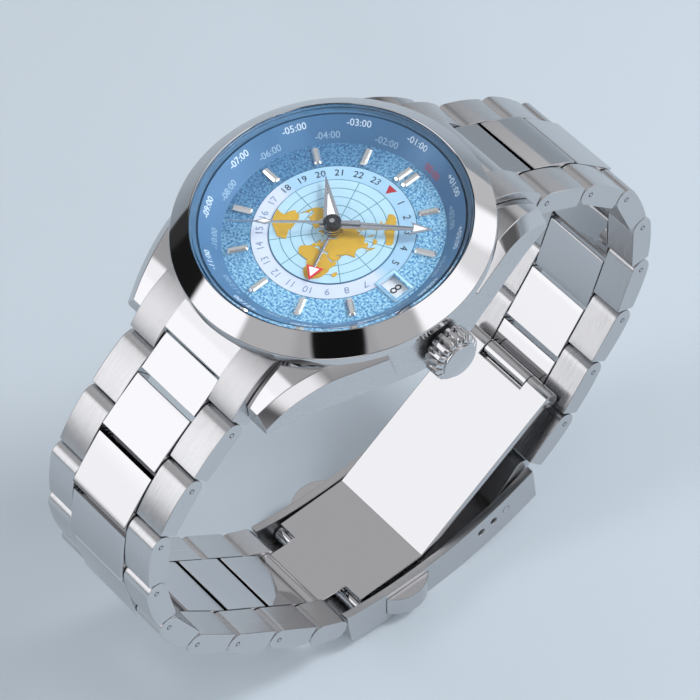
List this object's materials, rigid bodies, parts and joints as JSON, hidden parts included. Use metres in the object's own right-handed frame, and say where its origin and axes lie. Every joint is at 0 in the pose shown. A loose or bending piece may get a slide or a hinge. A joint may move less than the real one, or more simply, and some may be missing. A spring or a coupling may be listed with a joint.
{
  "type": "wristwatch",
  "caption": "Round steel world time watch with a map dial and a 24-hour hand, on a three-piece link bracelet closed by a folding clasp with push buttons.",
  "frame": {"origin": "centre of the case back's flat outer face", "axes": "+Z out of the dial, +Y to twelve o'clock, +X out through the crown"},
  "size_m": [0.0433, 0.0844, 0.0737],
  "materials": {
    "steel_brushed": "brushed",
    "steel_polished": "polished",
    "crystal": "clear",
    "black_rubber": "matt",
    "dial_blue": "grained",
    "chapter_blue": "satin",
    "date_white": "matt",
    "brass": "plated",
    "copper_coil": "lacquered",
    "circuit": "matt"
  },
  "bodies": {
    "head": {"case_middle": "steel_brushed", "bezel": "steel_polished", "crystal": "crystal", "chapter_ring": "chapter_blue", "dial": "dial_blue", "hour_markers": "steel_polished", "movement_plate": "brass", "circuit_board": "circuit", "battery": "steel_brushed", "battery_clip": "steel_brushed", "coil": "copper_coil", "case_back": "steel_polished", "crown_tube": "steel_polished", "end_link_6": "steel_brushed", "end_link_12": "steel_brushed"},
    "crown_slider": {"crown_gasket": "black_rubber"},
    "crown": {"crown": "steel_polished", "winding_stem": "steel_brushed"},
    "minute": {"minute_hand": "steel_polished", "cannon_pinion": "brass"},
    "hour": {"hour_hand": "steel_polished", "hour_wheel": "brass"},
    "gmt": {"gmt_hand": "steel_polished", "gmt_wheel": "brass"},
    "second": {"second_hand": "steel_polished"},
    "date": {"date_ring": "date_white"},
    "connector": {"clasp_connector": "steel_brushed", "clasp_spring_bar": "steel_polished"},
    "cover": {"clasp_cover": "steel_brushed", "pusher_springs": "steel_brushed"},
    "leaf_1": {"clasp_leaf_1": "steel_polished"},
    "leaf_2": {"clasp_leaf_2": "steel_polished"},
    "pusher_crown_side": {"pusher_crown_side": "steel_polished"},
    "pusher_far_side": {"pusher_far_side": "steel_polished"},
    "link_6_1": {"link_6_1": "steel_brushed"},
    "link_6_2": {"link_6_2": "steel_brushed"},
    "link_6_3": {"link_6_3": "steel_brushed"},
    "link_6_4": {"link_6_4": "steel_brushed"},
    "link_6_5": {"link_6_5": "steel_brushed"},
    "link_6_6": {"link_6_6": "steel_brushed"},
    "link_6_7": {"link_6_7": "steel_brushed"},
    "link_6_8": {"link_6_8": "steel_brushed"},
    "link_6_9": {"link_6_9": "steel_brushed"},
    "link_12_1": {"link_12_1": "steel_brushed"},
    "link_12_2": {"link_12_2": "steel_brushed"},
    "link_12_3": {"link_12_3": "steel_brushed"},
    "link_12_4": {"link_12_4": "steel_brushed"},
    "link_12_5": {"link_12_5": "steel_brushed"},
    "link_12_6": {"link_12_6": "steel_brushed"},
    "link_12_7": {"link_12_7": "steel_brushed"},
    "link_12_8": {"link_12_8": "steel_brushed"}
  },
  "joints": [
    {"name": "pivot_12_1", "type": "hinge", "parent": "head", "child": "link_12_1", "pos_m": [0, 0.0253, 0.0002], "axis": [1, 0, 0], "range_deg": [0, 15]},
    {"name": "pivot_12_2", "type": "hinge", "parent": "link_12_1", "child": "link_12_2", "pos_m": [0, 0.03243, -0.00443], "axis": [1, 0, 0], "range_deg": [0, 20.38]},
    {"name": "pivot_12_3", "type": "hinge", "parent": "link_12_2", "child": "link_12_3", "pos_m": [0, 0.03823, -0.01065], "axis": [1, 0, 0], "range_deg": [-11, 0]},
    {"name": "pivot_12_4", "type": "hinge", "parent": "link_12_3", "child": "link_12_4", "pos_m": [0, 0.04071, -0.01877], "axis": [1, 0, 0], "range_deg": [0, 29.47]},
    {"name": "pivot_12_5", "type": "hinge", "parent": "link_12_4", "child": "link_12_5", "pos_m": [0, 0.04012, -0.02725], "axis": [1, 0, 0], "range_deg": [0, 25.92]},
    {"name": "pivot_12_6", "type": "hinge", "parent": "link_12_5", "child": "link_12_6", "pos_m": [0, 0.03653, -0.03496], "axis": [1, 0, 0], "range_deg": [0, 17.18]},
    {"name": "pivot_12_7", "type": "hinge", "parent": "link_12_6", "child": "link_12_7", "pos_m": [0, 0.03106, -0.04147], "axis": [1, 0, 0], "range_deg": [0, 3.78]},
    {"name": "pivot_12_8", "type": "hinge", "parent": "link_12_7", "child": "link_12_8", "pos_m": [0, 0.0256, -0.04798], "axis": [1, 0, 0], "range_deg": [-19.52, 0]},
    {"name": "connector_pivot", "type": "hinge", "parent": "link_12_8", "child": "connector", "pos_m": [0, 0.0189, -0.05321], "axis": [1, 0, 0], "range_deg": [-45.86, 0]},
    {"name": "adjust_pivot", "type": "hinge", "parent": "connector", "child": "cover", "pos_m": [0, 0.01464, -0.05712], "axis": [1, 0, 0], "range_deg": [-44.16, 0]},
    {"name": "clasp_fold", "type": "hinge", "parent": "cover", "child": "leaf_1", "pos_m": [0, -0.00939, -0.05804], "axis": [1, 0, 0], "range_deg": [0, 100]},
    {"name": "middle_hinge", "type": "hinge", "parent": "leaf_1", "child": "leaf_2", "pos_m": [0, 0.02496, -0.04388], "axis": [1, 0, 0], "range_deg": [-76.35, 0]},
    {"name": "pivot_6_1", "type": "hinge", "parent": "head", "child": "link_6_1", "pos_m": [0, -0.0253, 0.0002], "axis": [1, 0, 0], "range_deg": [0, 16.59]},
    {"name": "pivot_6_2", "type": "hinge", "parent": "link_6_1", "child": "link_6_2", "pos_m": [0, -0.03221, -0.00475], "axis": [1, 0, 0], "range_deg": [0, 18.49]},
    {"name": "pivot_6_3", "type": "hinge", "parent": "link_6_2", "child": "link_6_3", "pos_m": [0, -0.03793, -0.01104], "axis": [1, 0, 0], "range_deg": [-4.3, 0]},
    {"name": "pivot_6_4", "type": "hinge", "parent": "link_6_3", "child": "link_6_4", "pos_m": [0, -0.0399, -0.01931], "axis": [1, 0, 0], "range_deg": [-11.78, 0]},
    {"name": "pivot_6_5", "type": "hinge", "parent": "link_6_4", "child": "link_6_5", "pos_m": [0, -0.03921, -0.02778], "axis": [1, 0, 0], "range_deg": [0, 7.32]},
    {"name": "pivot_6_6", "type": "hinge", "parent": "link_6_5", "child": "link_6_6", "pos_m": [0, -0.0358, -0.03556], "axis": [1, 0, 0], "range_deg": [0, 1.26]},
    {"name": "pivot_6_7", "type": "hinge", "parent": "link_6_6", "child": "link_6_7", "pos_m": [0, -0.03004, -0.04182], "axis": [1, 0, 0], "range_deg": [0, 31.8]},
    {"name": "pivot_6_8", "type": "hinge", "parent": "link_6_7", "child": "link_6_8", "pos_m": [0, -0.02386, -0.04765], "axis": [1, 0, 0], "range_deg": [0, 36.3]},
    {"name": "pivot_6_9", "type": "hinge", "parent": "link_6_8", "child": "link_6_9", "pos_m": [0, -0.01768, -0.05349], "axis": [1, 0, 0], "range_deg": [0, 22.41]},
    {"name": "crown_pull", "type": "slide", "parent": "head", "child": "crown_slider", "axis": [1, 0, 0], "range_m": [0, 0.0009]},
    {"name": "crown_turn", "type": "hinge", "parent": "crown_slider", "child": "crown", "pos_m": [0.0205, 0, 0.0044], "axis": [1, 0, 0], "continuous": true},
    {"name": "minute_turn", "type": "hinge", "parent": "head", "child": "minute", "pos_m": [0, 0, 0.0085], "axis": [0, 0, 1], "continuous": true},
    {"name": "hour_turn", "type": "hinge", "parent": "head", "child": "hour", "pos_m": [0, 0, 0.0082], "axis": [0, 0, 1], "continuous": true},
    {"name": "gmt_turn", "type": "hinge", "parent": "head", "child": "gmt", "pos_m": [0, 0, 0.0079], "axis": [0, 0, 1], "continuous": true},
    {"name": "second_turn", "type": "hinge", "parent": "head", "child": "second", "pos_m": [0, 0, 0.009], "axis": [0, 0, 1], "continuous": true},
    {"name": "date_turn", "type": "hinge", "parent": "head", "child": "date", "pos_m": [0, 0, 0.0067], "axis": [0, 0, 1], "continuous": true},
    {"name": "push_crown_side", "type": "slide", "parent": "cover", "child": "pusher_crown_side", "axis": [-1, 0, 0], "range_m": [0, 0.0008], "stiffness_N_per_m": 1200, "springref_m": -0.0008},
    {"name": "push_far_side", "type": "slide", "parent": "cover", "child": "pusher_far_side", "axis": [1, 0, 0], "range_m": [0, 0.0008], "stiffness_N_per_m": 1200, "springref_m": -0.0008}
  ],
  "couplings": [
    {"joint": "pivot_12_1", "follows": "clasp_fold", "ratio": 0.14},
    {"joint": "pivot_12_2", "follows": "clasp_fold", "ratio": 0.19377},
    {"joint": "pivot_12_3", "follows": "clasp_fold", "ratio": -0.099977},
    {"joint": "pivot_12_4", "follows": "clasp_fold", "ratio": 0.28473},
    {"joint": "pivot_12_5", "follows": "clasp_fold", "ratio": 0.24917},
    {"joint": "pivot_12_6", "follows": "clasp_fold", "ratio": 0.16175},
    {"joint": "pivot_12_7", "follows": "clasp_fold", "ratio": 0.027842},
    {"joint": "pivot_12_8", "follows": "clasp_fold", "ratio": -0.18521},
    {"joint": "connector_pivot", "follows": "clasp_fold", "ratio": -0.44855},
    {"joint": "adjust_pivot", "follows": "clasp_fold", "ratio": -0.43156},
    {"joint": "middle_hinge", "follows": "clasp_fold", "ratio": -0.75346},
    {"joint": "pivot_6_1", "follows": "clasp_fold", "ratio": 0.15587},
    {"joint": "pivot_6_2", "follows": "clasp_fold", "ratio": 0.17491},
    {"joint": "pivot_6_3", "follows": "clasp_fold", "ratio": -0.033038},
    {"joint": "pivot_6_4", "follows": "clasp_fold", "ratio": -0.10776},
    {"joint": "pivot_6_5", "follows": "clasp_fold", "ratio": 0.0632},
    {"joint": "pivot_6_6", "follows": "clasp_fold", "ratio": 0.00264},
    {"joint": "pivot_6_7", "follows": "clasp_fold", "ratio": 0.308},
    {"joint": "pivot_6_8", "follows": "clasp_fold", "ratio": 0.35298},
    {"joint": "pivot_6_9", "follows": "clasp_fold", "ratio": 0.21407},
    {"joint": "hour_turn", "follows": "minute_turn", "ratio": 0.083333},
    {"joint": "gmt_turn", "follows": "minute_turn", "ratio": 0.041667}
  ]
}
